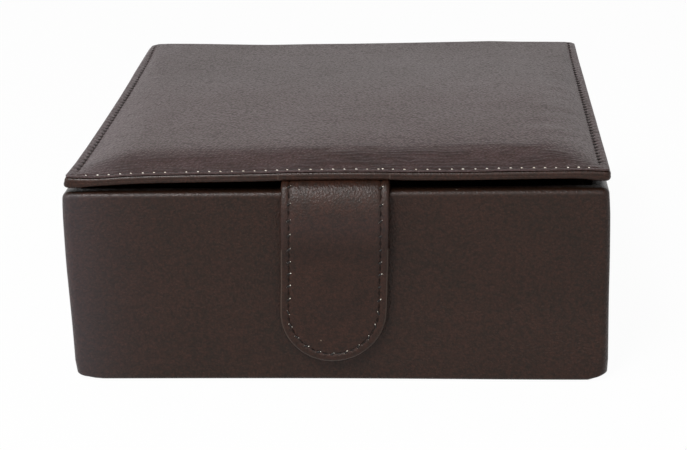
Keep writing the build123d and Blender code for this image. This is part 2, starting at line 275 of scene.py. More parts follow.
# %% Leather material
def make_leather(name, cool, warm, pebble, depth, roughness, gloss, stretch=1.0, creased=None):
    """Waxed full-grain leather. pebble and depth are the width and the height of its grain in millimetres,
    and stretch below 1 draws the grain out along Y, the way a hide is stretched when it is dried. creased
    is the turn of its creases in degrees, their width as a share of their length, the gap between them, and
    their height as a share of the grain's. Values at a point say how much it has of creases, which also
    darken its colour as painted shade, of leather rubbed smooth and shiny, of a painted sheen, a pale film
    that lightens its colour, and of a darker tone, which is mostly painted shade."""
    material, tree = new_material(name)
    traits = ["rubbed", "painted_sheen", "deep"] + (["crease_and_shade"] if creased else [])
    has = {trait: add(tree, "Attribute", {"attribute_name": trait}, "Fac") for trait in traits}
    spot = add(tree, "Attribute", in_hide, "Vector")
    place = add(tree, "Mapping", {"Vector": spot, "Scale": (1.0, stretch, 1.0)})
    mottle = add(tree, "TexNoise", {"Vector": place, "Scale": per_metre(18), "Detail": 5, "Roughness": 0.7})
    fleck = add(tree, "TexNoise", {"Vector": place, "Scale": per_metre(1.1), "Detail": 3, "Roughness": 0.8})
    both = add(tree, "Mix", {0: 0.72, 2: mottle, 3: fleck})
    spread = add(tree, "MapRange", {0: both, 1: 0.4, 2: 0.6})
    dye = add(tree, "Mix", {"data_type": "RGBA", 0: spread, 6: linear(cool), 7: linear(warm)})
    bend = add(tree, "TexNoise", {"Vector": place, "Scale": per_metre(pebble * 2.2), "Detail": 2.0}, "Color")
    push = add(tree, "VectorMath", {"operation": "SCALE", 0: bend, 3: pebble * 0.9 * mm})
    pushed = add(tree, "VectorMath", {0: place, 1: push})
    cells = add(tree, "TexVoronoi", {"feature": "SMOOTH_F1", "Vector": pushed, "Scale": per_metre(pebble),
                                     "Smoothness": 0.5})
    fine = add(tree, "TexNoise", {"Vector": place, "Scale": per_metre(0.4), "Detail": 2.0})
    grain = add(tree, "Mix", {0: 0.5, 2: cells, 3: fine})
    height = add(tree, "Math", {"operation": "MULTIPLY", 0: grain, 1: -1.0})
    hollow = add(tree, "MapRange", {0: cells, 1: 0.2, 2: 0.75, 3: 1.08, 4: 0.66})
    if creased:
        degrees, share, gap, strength = creased
        turn = add(tree, "Mapping", {"Vector": spot, "Rotation": (0.0, 0.0, math.radians(-degrees))})
        long = add(tree, "Mapping", {"Vector": turn, "Scale": (share, 1.0, 1.0)})
        lines = add(tree, "TexWave", {"bands_direction": "Y", "Vector": long, "Scale": per_metre(gap * 3.18),
                                      "Distortion": 9.0, "Detail": 3.0, "Detail Scale": 1.1}, "Fac")
        furrow = add(tree, "MapRange", {0: lines, 1: 0.15, 2: 0.85, 4: strength})
        held = add(tree, "Math", {"operation": "MULTIPLY", 0: furrow, 1: has["crease_and_shade"]})
        tight = add(tree, "MapRange", {0: has["crease_and_shade"], 1: 0.1, 2: 0.42, 3: 1.0, 4: 0.4})
        height = add(tree, "Math", {"operation": "MULTIPLY_ADD", 0: height, 1: tight, 2: held})
        # Where the leather is creased its colour is also darkened, as painted shade.
        painted_crease_shade = add(tree, "MapRange", {0: has["crease_and_shade"], 3: 1.0, 4: 0.45})
        hollow = add(tree, "Math", {"operation": "MULTIPLY", 0: hollow, 1: painted_crease_shade})
    colour = add(tree, "Mix", {"data_type": "RGBA", "blend_type": "MULTIPLY", 0: 1.0, 6: dye, 7: hollow})
    nicks = add(tree, "TexVoronoi", {"Vector": place, "Scale": per_metre(11)})
    nick = add(tree, "MapRange", {0: nicks, 1: 0.012, 2: 0.022, 3: 0.45, 4: 0.0})
    # Then a painted sheen lightens the colour, a darker tone is multiplied in, mostly as painted shade, and
    # pale nicks are mixed in.
    for share, way, tone in ((has["painted_sheen"], "ADD", "#302e32"), (has["deep"], "MULTIPLY", "#b5ad9e"),
                             (nick, "MIX", "#a39483")):
        colour = add(tree, "Mix", {"data_type": "RGBA", "blend_type": way, 0: share, 6: colour,
                                   7: linear(tone)})
    worn = add(tree, "Mix", {0: 0.75, 2: mottle, 3: cells})
    wax = add(tree, "MapRange", {0: worn, 1: 0.2, 2: 0.75, 3: roughness - 0.04, 4: roughness + 0.14})
    shine = add(tree, "Math", {"operation": "MULTIPLY_ADD", 0: has["rubbed"], 1: -0.06, 2: wax})
    flat = add(tree, "MapRange", {0: has["rubbed"], 3: 1.0, 4: 0.5})
    dress(tree, colour, height, flat, depth, {"IOR": 1.5, "Specular IOR Level": gloss, "Roughness": shine})
    return material


wall_hide = make_leather("leather_smooth_waxed", "#37221a", "#241811", pebble=0.6, depth=0.22,
                         roughness=0.35, gloss=0.21)
lid_hide = make_leather("leather_soft_pebbled", "#4c3737", "#3d2823", pebble=0.62, depth=0.36,
                        roughness=0.39, gloss=0.43, stretch=0.7, creased=(0, 0.5, 1.5, 0.34))
tab_hide = make_leather("leather_tab_waxed", "#3a2219", "#26170f", pebble=0.5, depth=0.15,
                        roughness=0.31, gloss=0.22, creased=(45, 0.3, 0.46, 0.95))
print("leather materials", [m.name for m in (wall_hide, lid_hide, tab_hide)])

# %% [markdown]
# ## The other materials
# The cut edge of the tab is raw leather that was rubbed smooth, paler than the dyed face. The lining is
# suede, the flesh side of a skin raised into a nap, so it is dull with a soft bright rim. The sewing
# thread is waxed twisted polyester, 0.45 mm thick, with a twist every 0.8 mm. Its upper strand is brown,
# and the paler lower strand shows as a dot where the two lock in each hole. Plain colours would do at
# this size, but a part may be looked at closer.

# %% Cut edge, suede and thread
def make_plain(name, dark, light, strength, depth, surface, kind, pattern, out=None):
    """A finish whose two tones and relief follow one pattern, a node of this kind with these settings."""
    material, tree = new_material(name)
    height = add(tree, kind, {"Vector": add(tree, "Attribute", in_hide, "Vector"), **pattern}, out)
    tone = add(tree, "Mix", {"data_type": "RGBA", 0: height, 6: linear(dark), 7: linear(light)})
    dress(tree, tone, height, strength, depth, surface)
    return material


rubbed = {"IOR": 1.5, "Specular IOR Level": 0.3, "Roughness": 0.5}
edge_hide = make_plain("leather_cut_edge", "#34261e", "#4f4038", 0.8, 0.05, rubbed,
                       "TexNoise", {"Scale": per_metre(0.8), "Detail": 4})
waxed = {"IOR": 1.5, "Specular IOR Level": 0.3, "Roughness": 0.55}
twist = {"bands_direction": "DIAGONAL", "Scale": per_metre(0.8 * 3.14), "Distortion": 1}
threads = [make_plain("thread_waxed_brown", "#0e0907", "#1c1410", 0.7, 0.06, waxed, "TexWave", twist, "Fac"),
           make_plain("thread_waxed_pale", "#e2d8c6", "#fbf6ea", 0.7, 0.06, waxed, "TexWave", twist, "Fac")]

suede, tree = new_material("suede_napped")
place = add(tree, "Attribute", in_hide, "Vector")
nap = add(tree, "TexNoise", {"Vector": place, "Scale": per_metre(0.45), "Detail": 4.0, "Roughness": 0.7})
brushed = add(tree, "TexNoise", {"Vector": place, "Scale": per_metre(14), "Detail": 3.0, "Distortion": 0.8})
both = add(tree, "Mix", {0: 0.4, 2: brushed, 3: nap})
spread = add(tree, "MapRange", {0: both, 1: 0.38, 2: 0.62})
tone = add(tree, "Mix", {"data_type": "RGBA", 0: spread, 6: linear("#3f3029"), 7: linear("#57453b")})
dress(tree, tone, nap, 0.9, 0.12, {"Roughness": 0.95, "Specular IOR Level": 0.1, "Sheen Weight": 0.35,
                                   "Sheen Roughness": 0.45, "Sheen Tint": linear("#b9a596")})

print("thread materials", [thread.name for thread in threads])

# %% [markdown]
# ## What the leather hides
# The boards are greyboard, pressed from waste paper, so they are dull grey with darker and paler flecks.
# The foam is an open-cell sheet, pale and full of pores. The magnet and its keeper are plain
# nickel-plated steel. One grey could stand for them all, but a hidden part is finished as well as a
# visible one, for whoever takes the piece apart.

# %% Greyboard, foam and steel
greyboard, tree = new_material("greyboard_pressed")
place = add(tree, "TexCoord", None, "Object")
pulp = add(tree, "TexNoise", {"Vector": place, "Scale": per_metre(0.9), "Detail": 5.0, "Roughness": 0.75})
scrap = add(tree, "TexVoronoi", {"Vector": place, "Scale": per_metre(2.5)})
spread = add(tree, "MapRange", {0: pulp, 1: 0.35, 2: 0.65})
tone = add(tree, "Mix", {"data_type": "RGBA", 0: spread, 6: linear("#7f7a72"), 7: linear("#a8a298")})
speck = add(tree, "MapRange", {0: scrap, 1: 0.05, 2: 0.12, 3: 0.55, 4: 1.0})
tint = add(tree, "Mix", {"data_type": "RGBA", "blend_type": "MULTIPLY", 0: 1.0, 6: tone, 7: speck})
dress(tree, tint, pulp, 0.6, 0.06, {"Roughness": 0.9, "Specular IOR Level": 0.2})

dull = {"Roughness": 0.95, "Specular IOR Level": 0.1}
foam = make_plain("foam_open_cell", "#a79f8f", "#d9d2c3", 1, 0.2, dull,
                  "TexVoronoi", {"Scale": per_metre(0.7)})

steel, tree = new_material("steel_nickel_plated")
place = add(tree, "TexCoord", None, "Object")
streak = add(tree, "Mapping", {"Vector": place, "Scale": (1.0, 1.0, 0.06)})
brush = add(tree, "TexNoise", {"Vector": streak, "Scale": per_metre(0.25), "Detail": 3.0})
tone = add(tree, "Mix", {"data_type": "RGBA", 0: brush, 6: linear("#a9a7a2"), 7: linear("#c4c2bd")})
rough = add(tree, "MapRange", {0: brush, 3: 0.28, 4: 0.42})
plate = add(tree, "BsdfPrincipled", {"Metallic": 1.0, "Base Color": tone, "Roughness": rough})
add(tree, "OutputMaterial", {0: plate})

boards = [f"{side}_board" for side in ("base", "front", "back", "left", "right")]
kept_nodes = dict.fromkeys(boards, greyboard) | {"keeper_plate": steel, "tab_magnet": steel}
for node, material in kept_nodes.items():
    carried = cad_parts[node]
    carried.data.materials.clear()
    carried.data.materials.append(material)
print("CAD nodes with a finish of their own:", list(kept_nodes))

# %% [markdown]
# ## Putting a piece in place
# Each piece may ride on the body that it moves with, stands for its CAD nodes, and gets its materials. Each
# could be handed over where it is made, but one function keeps the calls the same for all.

# %% Riding, standing for, finish
def place_piece(piece, materials, body=None, stands_for=()):
    """Gives a piece its materials and its finish, and lets it ride on a body and stand for CAD nodes."""
    for material in materials:
        piece.data.materials.append(material)
    if body:
        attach(piece, body)
    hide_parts(*stands_for)
    print(piece.name, "has", len(piece.data.polygons), "faces")


# %% [markdown]
# ## The wall leather
# One strip of leather goes round the front and both sides. It is glued to the boards, folded over the rim
# and turned in under the base. A rounded box with a bevel would give the outside, but the fold over the
# rim and the hem inside and underneath are seen too. So the section of the leather, a long thin loop, is
# carried along the outline of the box. The sides swell a little, as wrapped board does.

# %% Outline of the box
def outline_places(half, near, far, radius, gap_half, step):
    """Places along the outline and the directions they face, from its left end at the back round the front
    to its right end."""
    points, normals = [], []
    last = (-gap_half, far)
    for cx, cy, start in ((-half + radius, far - radius, 90), (-half + radius, near + radius, 180),
                          (half - radius, near + radius, 270), (half - radius, far - radius, 0)):
        bend = arc((cx, cy), radius, start, start + 90, 9)
        facing = arc((0, 0), 1, start, start + 90, 9)
        count = max(1, int(math.dist(last, bend[0]) / step))
        points += [*np.linspace(last, bend[0], count, endpoint=False), *bend[:-1]]
        normals += [facing[0]] * count + facing[:-1]
        last = bend[-1]
    count = max(1, int((last[0] - gap_half) / step))
    points += [*np.linspace(last, (gap_half, far), count + 1)]
    normals += [(0, 1)] * (count + 1)
    return np.array(points), np.array(normals)


def inset_places(points, normals, inset, half, near, far):
    """The outline's places moved inwards, with square corners once the corner's radius is used up."""
    moved = points - normals * inset
    if inset > 0:
        moved = np.clip(moved, (inset - half, near + inset), (half - inset, far - inset))
    return moved


# %% Wall leather
base_turn, rim_turn, base_round, rim_round, hem_round = 11.0, 12.0, 1.1, 1.7, 0.8
base_z = shell_base - 0.15
inside = wall + leather
loop = [(base_turn, base_z + 0.25), (base_turn - 0.2, base_z), (8, base_z), (5, base_z), (3, base_z)]
loop += arc((base_round, base_z + base_round), base_round, 270, 180, 7)
loop += [(0, z) for z in np.linspace(5, rim - 3.5, 13)]
loop += arc((rim_round, rim - rim_round), rim_round, 180, 90, 8)
outer_places = range(5, len(loop))
loop += [(2.4, rim)] + arc((inside - hem_round, rim - hem_round), hem_round, 90, 0, 5)
loop += [(inside, rim - 5), (inside, rim - 9), (inside, rim - rim_turn + 0.3)]
loop += [(inside - 0.2, rim - rim_turn), (wall, rim - rim_turn), (wall, rim - 6), (wall, rim - leather)]
loop += [(leather, rim - leather), (leather, rim - 20), (leather, shell_base + 2.6)]
loop += [(1.8, shell_base + leather), (base_turn, shell_base + leather)]
swell_z = [0, 6, 14, 22, 32, 44, 50, 52]
swell_left = [0.4, 0.42, 0.52, 0.74, 1.02, 1.02, 0.82, 0.4]
swell_right = [0.5, 0.55, 0.5, 0.46, 0.52, 0.42, 0.1, 0.0]
wall_corner, spacing = 2.2, 2.4
path, normals = outline_places(box_half, front, back, wall_corner, hinge_half, spacing)


def from_corner(x, y):
    """The distance to the nearer front corner of the box."""
    return math.hypot(box_half - abs(x), y - front)


def corner_lift(x, y, z):
    """How far the worn front corners of the base are lifted off the table."""
    reach, lift = (8.0, 0.9) if x < 0 else (5.5, 1.5)
    return lift * ease((reach - from_corner(x, y)) / reach) ** 1.5 * lip(z, 7)


sections = np.zeros((len(path), len(loop), 3))
for k, (inset, z) in enumerate(loop):
    spot = inset_places(path, normals, inset, box_half, front, back)
    for i, ((x, y), (nx, ny)) in enumerate(zip(spot, normals)):
        swell = 0.0
        if k in outer_places:
            bulge = np.interp(z, swell_z, swell_left if nx < 0 else swell_right) * abs(nx)
            swell = 0.05 * waver(x, y, z, 30) + bulge * ease((60 - y) / 60) - 0.07 * bell(z - rim + 2.3, 0.7)
        lean = max(0.0, -ny) * (0.25 + 1.3 * ease((x + 20) / 90)) * ease((26 - z) / 26) * (inset < 8)
        tuck = (1.0 if x < 0 else 0.4) * max(0.0, 1 - z / 5) ** 3 * ease((9 - from_corner(x, y)) / 9)
        lifted = z + corner_lift(x, y, z)
        sections[i, k] = (x + nx * swell - math.copysign(tuck, x), y + ny * swell - lean, lifted)
wall_skin = finish_mesh("wall_leather_strip", sections.reshape(-1, 3), tube_faces(len(path), len(loop)))
mark(wall_skin, "rubbed", lambda x, y, z: ease((z - rim + 2.4) / 1.0)
     * (y < front + rim_round or abs(x) > box_half - rim_round))
# A painted sheen lightens the wall leather toward the left end of the box, below the rim.
mark(wall_skin, "painted_sheen", lambda x, y, z: math.exp(-max(0.0, x + 69) / 9) * ease((rim - 0.2 - z) / 0.6))
# Painted shade darkens the rim behind its rounded outer edge, where the lid shades it.
mark(wall_skin, "deep", lambda x, y, z: ease((min(y - front, box_half - abs(x)) - 0.7) / 0.6)
     * ease((z - rim + 1.5) / 0.8))
place_piece(wall_skin, [wall_hide], "box", ["wall_leather"])

# %% [markdown]
# ## How the lid is bent
# The real lid is not quite flat. Its front edge stands up over the tab, its left front corner hangs, and
# its back left corner lifts. A lattice could bend it all at the end, but a function of the place can be
# asked by every piece while it is made, and the stitches then sit on the leather.

# %% The lid's bend
bend_x = [-69.8, -66, -62, -58, -54.6, -47, -39, -24, -17, -12, 0, 12, 19, 34, 50, 63, 67, 69.8]
bend_front = [-0.3, -0.52, -0.6, -0.42, -0.15, 0.08, 0.18, 0.3, 0.38, 0.55, 0.62, 0.55, 0.32, 0.28, 0.45,
              0.52, 0.38, 0.2]
shift_y = [-75, -70, -62, -46, -20, 8, 28, 39, 50, 73]
shift_left = [0.3, 0.55, 0.8, 0.88, 0.75, 0.48, 0.1, -0.22, -0.4, -0.55]
shift_right = 0.27
roll_x = [-69.6, -68.9, -66.8, -63.5, -56.8, -50.2, -36.8, -30.2, -16.9, -3.7, 12.8, 32.5, 42.4, 52.2, 60.4,
          66.5, 68.8, 69.8]
roll_z = [57.2, 58.0, 58.5, 58.6, 58.5, 58.35, 57.95, 57.8, 57.9, 57.87, 57.94, 58.1, 58.2, 57.88, 57.75,
          57.62, 57.4, 56.9]


def lid_bend(x, y):
    """How far the lid stands above or below its flat place at rest."""
    toward_front = np.clip((back - y) / (back - front), 0, 1) ** 1.4
    toward_back = np.clip((y - front) / (back - front), 0, 1) ** 3
    corner = 0.4 * ease((-x - 45) / 25)
    return np.interp(x, bend_x, bend_front) * toward_front + corner * toward_back


def lid_shift(x, y):
    """How far the lid's side edges stand to the right of their straight place."""
    to_left = np.clip(-x / lid_half, 0, 1) ** 3
    to_right = np.clip(x / lid_half, 0, 1) ** 3
    return to_left * np.interp(y, shift_y, shift_left) + to_right * shift_right


# %% [markdown]
# ## The lid's top leather and the hinge
# One piece of leather covers the foam. It is thin where it is sewn down along the front and the sides,
# rises over the foam, rolls over the back edge and goes on down the back wall and under the base, so the
# leather itself is the hinge. It could be three pieces that meet at the joints, but then the hinge would
# show a seam that the real one has not got. So one grid runs from the front edge of the lid to the
# underside of the box, narrower below the lid.

# %% Height of the padded top
margin_top = band_top + 0.5
stitch_inset, side_stitch, pitch = 1.8, 2.35, 2.9
front_pad, side_pad, roll = 2.4, 2.9, 1.5
first_row = front + 4.35
climb = np.linspace(0, 24, 97)
slope = 0.28 * (1 - ease((climb - 4.5) / 9)) + 0.045 * (1 - ease((climb - 11) / 11))
slope *= ease((climb + 1.5) / 2.5)
climb_height = np.append(0, np.cumsum((slope[1:] + slope[:-1]) / 2 * climb[1]))
far_climb = np.linspace(0, 50, 101)
far_slope = 0.026 * (1 - ease((far_climb - 12) / 36))
far_height = np.append(0, np.cumsum(far_slope[:-1] * far_climb[1]))
print("rise behind the front seam in mm", round(climb_height[-1], 2), "then", round(far_height[-1], 2))


def side_inset(x):
    """The distance to the nearer side edge of the lid."""
    return lid_half - abs(x)


def rise(distance, reach):
    """The share of its full height that the foam has at a distance from a sewn side."""
    return 1 - (1 - np.clip(distance / reach, 0, 1)) ** 2.2


def rib_at(y, inset_x):
    """The furrow that each hole of the side seams pulls into the roll outside it."""
    off = (y - first_row + 0.2 * (inset_x - side_stitch) + pitch / 2) % pitch - pitch / 2
    strength = (0.1 + 0.16 * ease((40 - y) / 60)) * (1 + 0.9 * waver(inset_x * 9, y, 6, 4))
    return strength * (0.25 - bell(off, 0.45)) * ease((inset_x - 0.15) / 0.9)


def lid_top(x, y):
    """The finished height of the lid's top at one place."""
    inset_x, inset_y = side_inset(x), y - front
    nearest = min(inset_x, inset_y)
    height = margin_top - 0.2 * lip(nearest, 0.45)
    height -= 0.3 * bell(inset_y - stitch_inset, 0.3) * (inset_x > 1.5)
    height -= 0.27 * bell(inset_x - side_stitch, 0.4) * ease((inset_y - 1.2) / 1.5)
    # The foam climbs behind the front seam and inside the side seams, and further back on the right.
    from_side = rise(inset_x - side_pad, 15 - 11 * ease((y - 25) / 45))
    swell = np.interp(x, [-60, -20, 14, 54, 65], [-0.5, -0.25, 1, 1, 0.1])
    pad = np.interp(inset_y - front_pad, climb, climb_height)
    pad += swell * np.interp(inset_y - front_pad, far_climb, far_height)
    height += pad * from_side + lid_bend(x, y)
    # Each hole pulls a furrow into the rolls beside the seams.
    height += rib_at(y, inset_x) * ease((side_stitch + 0.3 - inset_x) / 1.2) * ease((inset_y - 2) / 4)
    pull = 0.07 * math.cos(2 * math.pi * x / pitch) * ease((3.2 - inset_y) / 1.6) * (inset_y > 0.6)
    height -= pull * ease((inset_x - 2) / 4)
    # The skin lies in slow waves, with shorter ones along the sides and slanting ones on the right.
    height += rise(nearest - 2.4, 12) * (0.2 * waver(x, y, 3, 30) + 0.08 * waver(x, y, 7, 11))
    height += 0.16 * waver(x * 0.35, y, 11, 5) * ease((inset_x - 3) / 4) * ease((17 - inset_x) / 10)
    slant = waver(x * 0.4, y - 0.5 * (x - 40), 17, 7)
    height += 0.15 * slant * ease((x - 30) / 16) * ease((inset_x - 2) / 7) * ease((60 - y) / 16)
    # At the back it runs into the roll over the edge.
    fall = 48 - 66 * ease((inset_x - 3) / 8)
    toward_back = ease((y - fall) / (back - roll - fall))
    return height * (1 - toward_back) + np.interp(x, roll_x, roll_z) * toward_back


# %% Grid of the top leather
corner_radius = 1.5
edge_steps = [0.1, 0.25, 0.5, 0.8, 1.15, 1.5, 1.8, 2.1, 2.5, 3.0, 3.6]
columns = between_edges(-lid_half, lid_half, edge_steps, [1.45 * k for k in range(-45, 46)])
rows_top = [front + step for step in edge_steps]
rows_top += [*np.arange(first_row, back - roll - 0.2, pitch / 4), back - roll]
fold_rows = np.linspace(lid_base, rim, 9)[1:]
wall_rows = np.linspace(rim, base_z + base_round, 14)[1:]
quarter = np.radians([22.5, 45, 67.5, 90])


def rounded_corner(x, y):
    """Moves a point of the square grid so that the grid's front corners are rounded."""
    a, b = corner_radius - side_inset(x), corner_radius - (y - front)
    if a > 0 and b > 0:
        shrink = max(a, b) / math.hypot(a, b)
        x, y = math.copysign(lid_half - corner_radius + a * shrink, x), front + corner_radius - b * shrink
    return x + lid_shift(x, y), y


def skived(distance):
    """The leather's thickness at a distance from its sewn edge."""
    return 0.2 + 0.75 * rise(distance - 1.0, 6)


outer, under = [], []
for y in rows_top:
    skive = [skived(min(side_inset(x), y - front)) for x in columns]
    outer.append([(*rounded_corner(x, y), lid_top(x, y)) for x in columns])
    under.append([(px, py, z - t) for (px, py, z), t in zip(outer[-1], skive)])
rear_x, _, edge_height = np.transpose(outer[-1])
rear_skive = [skived(side_inset(x)) for x in columns]
for turn in quarter:
    y, drop = back - roll + roll * math.sin(turn), roll * (1 - math.cos(turn))
    outer.append([(x, y, z - drop) for x, z in zip(rear_x, edge_height)])
    under.append([(x, y - t * math.sin(turn), z - t * math.cos(turn))
                  for (x, _, z), t in zip(outer[-1], rear_skive)])
for share in np.linspace(0.25, 1.0, 4):
    outer.append([(x + (rx - x) * (1 - share), back, (z - roll) * (1 - share) + lid_base * share)
                  for x, rx, z in zip(columns, rear_x, edge_height)])
    under.append([(px, back - t, z) for (px, _, z), t in zip(outer[-1], rear_skive)])
top_count = len(outer)
for z in (*fold_rows, *wall_rows):
    outer.append([(x, back + 0.06 * waver(x, 0, z, 24) * ease((rim - z) / 6), z) for x in columns])
    under.append([(x, back - leather, z) for x in columns])
for turn in quarter:
    y, z = back - base_round * (1 - math.cos(turn)), base_z + base_round * (1 - math.sin(turn))
    outer.append([(x, y, z) for x in columns])
    under.append([(x, y - leather * math.cos(turn), z + leather * math.sin(turn)) for x in columns])
for y in np.linspace(back - base_round, back - base_turn, 4)[1:]:
    outer.append([(x, y, base_z) for x in columns])
    under.append([(x, y, shell_base + leather) for x in columns])
outer, under = np.array(outer), np.array(under)
for grid in (outer, under):
    grid[top_count:, :, 0] = np.clip(grid[top_count:, :, 0], -hinge_half, hinge_half)
keep = np.ones((len(outer) - 1, len(columns) - 1), bool)
keep[top_count - 1:] = np.abs(columns[:-1] + columns[1:]) / 2 < hinge_half
top_leather = sheet("lid_cover_and_hinge", outer, under, keep)
# The front of the top is creased, and its colour is darkened there as painted shade.
mark(top_leather, "crease_and_shade", lambda x, y, z: ease((y + 74.5) / 2) * ease((-56 - y) / 12) * (z > band_top)
     * (0.25 + 0.25 * ease((x + 22) / 22) * ease((72 - x) / 25))
     * max(0.1, 0.8 + 1.5 * waver(x * 0.4, y, 2, 3)))
# The part of this leather down the back wall is darkened to the tone of the walls, and painted shade darkens
# the top a little toward the back.
mark(top_leather, "deep", lambda x, y, z: ease((y - back + 3) / 2.5) * ease((band_top + 1 - z) / 5)
     + 0.14 * (ease((y + 15) / 30) + ease((y - 4) / 22)) * (z > band_top + 1))
# A painted sheen lightens the top toward its left edge, and toward its right edge further back.
mark(top_leather, "painted_sheen", lambda x, y, z: (z > band_top) * (0.68 * math.exp(-max(0.0, x + 66) / 9)
     + 0.3 * math.exp(-max(0.0, 62 - x) / 6) * ease((y + 75) / 110)))
place_piece(top_leather, [lid_hide], None, ["lid_cover", "hinge_fold", "back_leather"])
hinge_start, hinge_end = (0, back * mm, rim * mm), (0, back * mm, lid_base * mm)
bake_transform(top_leather)
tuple(hinge_start)
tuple(hinge_end)

# %% [markdown]
# ## The lid's edge leather
# A second strip is wrapped round the front and the side edges of the lid's board and turned in under it.
# Its upper edge is folded to a small roll just under the top leather, which catches the light, with a
# dark line between the two. Over the tab a notch is cut in it, so that the tab can come out. A curve with
# a bevel object could carry the section, but the notch and the bend of the lid need every point's place,
# so it is made like the wall leather.

# %% Edge leather
edge_top = margin_top - 0.3
edge_roll, edge_round, notch_half, notch_cut = 1.1, 0.8, 14.15, 0.3
loop = [(edge_roll + 0.3, edge_top - 0.2), (edge_roll + 0.12, edge_top - 0.02)]
loop += arc((edge_roll, edge_top - edge_roll), edge_roll, 90, 180, 9)
loop += [(0.07, lid_base + 1.15), (0.04, lid_base + 1.0)]
loop += arc((edge_round, lid_base + edge_round), edge_round, 180, 270, 8)
loop += [(2.5, lid_base), (5.0, lid_base), (7.5, lid_base), (7.75, lid_base + 0.12), (7.8, lid_base + 0.35)]
loop += [(7.8, lid_base + 0.7), (4.0, lid_base + 0.7), (1.4, lid_base + 0.72)]
path, normals = outline_places(lid_half, front, back - leather, corner_radius,
                               lid_half - corner_radius, spacing)
sides = np.flatnonzero(np.abs(path[:, 0]) > lid_half - 0.01)
path, normals = path[sides[0]:sides[-1] + 1], normals[sides[0]:sides[-1] + 1]
along_front = np.flatnonzero(normals[:, 1] < -0.99)
first, after = along_front[0], along_front[-1] + 1
cuts = (-notch_half - notch_cut, -notch_half, notch_half, notch_half + notch_cut)
xs = np.sort([*path[along_front, 0], *cuts])
path = np.concatenate([path[:first], [(x, front) for x in xs], path[after:]])
normals = np.concatenate([normals[:first], [(0, -1)] * len(xs), normals[after:]])
sections = np.zeros((len(path), len(loop), 3))
for k, (inset, z) in enumerate(loop):
    spot = inset_places(path, normals, inset, lid_half, front, back + 20)
    for i, ((x, y), (nx, ny)) in enumerate(zip(spot, normals)):
        in_notch = notch_half - abs(path[i, 0]) if ny < -0.99 else -1.0
        low_z = z
        if in_notch > -0.01 and inset > 1.0:
            y, low_z = front + 1.0, max(z, lid_base + 0.72)
        wobble = 0.06 * waver(x, y, z * 3, 9) + 0.24 * abs(nx) * (inset < 1.0) * ease((z - lid_base) / 1.2)
        wobble += 0.12 * ease(in_notch / 0.2) * (inset < 0.5)
        fold = ease((lid_base + 1.6 - z) / 1.4) * ease((-66 - y) / 7) * ease((abs(x) - 61) / 7)
        low_z -= fold * (0.6 if x < 0 else 0.45)
        x += lid_shift(x, y) * ease((z - lid_base + 0.4) / 2.2) + math.copysign(0.3, x) * fold
        sections[i, k] = (x + nx * wobble, y + ny * wobble, low_z + lid_bend(x, y))
edge_strip = finish_mesh("lid_edge_strip", sections.reshape(-1, 3), tube_faces(len(path), len(loop)))
mark(edge_strip, "rubbed", lambda x, y, z: ease((z - lid_bend(x, y) - edge_top + 1.1) / 0.5))
for polygon in edge_strip.data.polygons:
    x, y, z = polygon.center / mm
    slit = abs(abs(x) - notch_half - 0.15) < 0.1 and lid_base + 0.3 < z - lid_bend(x, y) < lid_base + 1.7
    polygon.material_index = int(slit and y < front + 0.3)
place_piece(edge_strip, [tab_hide, edge_hide], "lid", ["lid_edge_leather"])

# %% [markdown]
# ## The lid's board and foam
# Under the top leather lie a thin sheet of foam and the greyboard. The flat CAD solids could show as they
# are, but both bend with the lid, so they are built again from the same height function.

# %% Board and foam
def level_grid(inset, far, nx, ny):
    """Even places over the lid, from so far inside its front and sides to a line at the back."""
    half = lid_half - inset
    return np.meshgrid(np.linspace(-half, half, nx), np.linspace(front + inset, far, ny))


gx, gy = level_grid(0.85, back - leather - 0.1, 40, 42)
lift = lid_bend(gx, gy)
board = sheet("lid_board_bent", np.dstack([gx, gy, lift + band_top - 0.05]),
              np.dstack([gx, gy, lift + lid_base + 0.75]))
place_piece(board, [greyboard], "lid", ["lid_board"])

gx, gy = level_grid(3.4, back - 2.6, 60, 64)
board_top = lid_bend(gx, gy) + band_top
under_skin = np.array([[lid_top(x, y) - 1.02 for x, y in zip(rx, ry)] for rx, ry in zip(gx, gy)])
pad = sheet("lid_foam", np.dstack([gx, gy, np.maximum(under_skin, board_top + 0.12)]),
            np.dstack([gx, gy, board_top]))
place_piece(pad, [foam], "lid", ["lid_pad"])

# %% [markdown]
# ## The tab
# The tab is two plies of leather with a thin stiffener and a magnet between them, sewn round its edge and
# cut to a half circle at its end. An armature could bend a flat one, but then the thickness would pinch
# in the fold. So its grid is laid out flat, with the end's corners rounded until they meet, and is then
# carried along the tab's line: flat under the lid, round the fold, and down the front. The tab hangs a
# degree or two aslant, as the real one does.

# %% The tab's flat shape and its line
root_low, root_high = extent("tab_root")
tab_half = extent("tab_fold")[1][0]
tab_thickness = root_high[2] - root_low[2]
inner_radius, fold_turn, tab_offset, row_inset, pressed = 1.2, math.radians(52), 0.3, 2.1, 0.96
tongue_y, fold_y, fold_z = root_high[1], root_low[1], root_low[2] - inner_radius
flat_run = tongue_y - fold_y
fold_run = (inner_radius + tab_thickness / 2) * fold_turn
hang_start = flat_run + fold_run
tab_end = extent("tab_front_leather")[0][2] - 0.3
magnet_z = 27.0
falls = np.linspace(0, 60, 241)
lean = (math.pi / 2 - fold_turn) * np.clip(1 - falls / 13, 0, 1) ** 2.5
lean -= math.radians(10.5) * np.sin(math.pi * np.clip((falls - 7.5) / 18, 0, 1)) ** 2
line_y = -inner_radius * math.sin(fold_turn) - np.append(0, np.cumsum(np.sin(lean[:-1]) * falls[1]))
line_z = inner_radius * math.cos(fold_turn) - np.append(0, np.cumsum(np.cos(lean[:-1]) * falls[1]))
line_y -= np.interp(44, falls, line_y) + inner_radius
flat_shift = line_y[0] + inner_radius * math.sin(fold_turn)


def fall_to(z):
    """The length of the hanging tab above a height."""
    return np.interp(fold_z - z, -line_z, falls)


length = hang_start + fall_to(tab_end)
round_centre = length - tab_half
magnet_run = hang_start + fall_to(magnet_z)


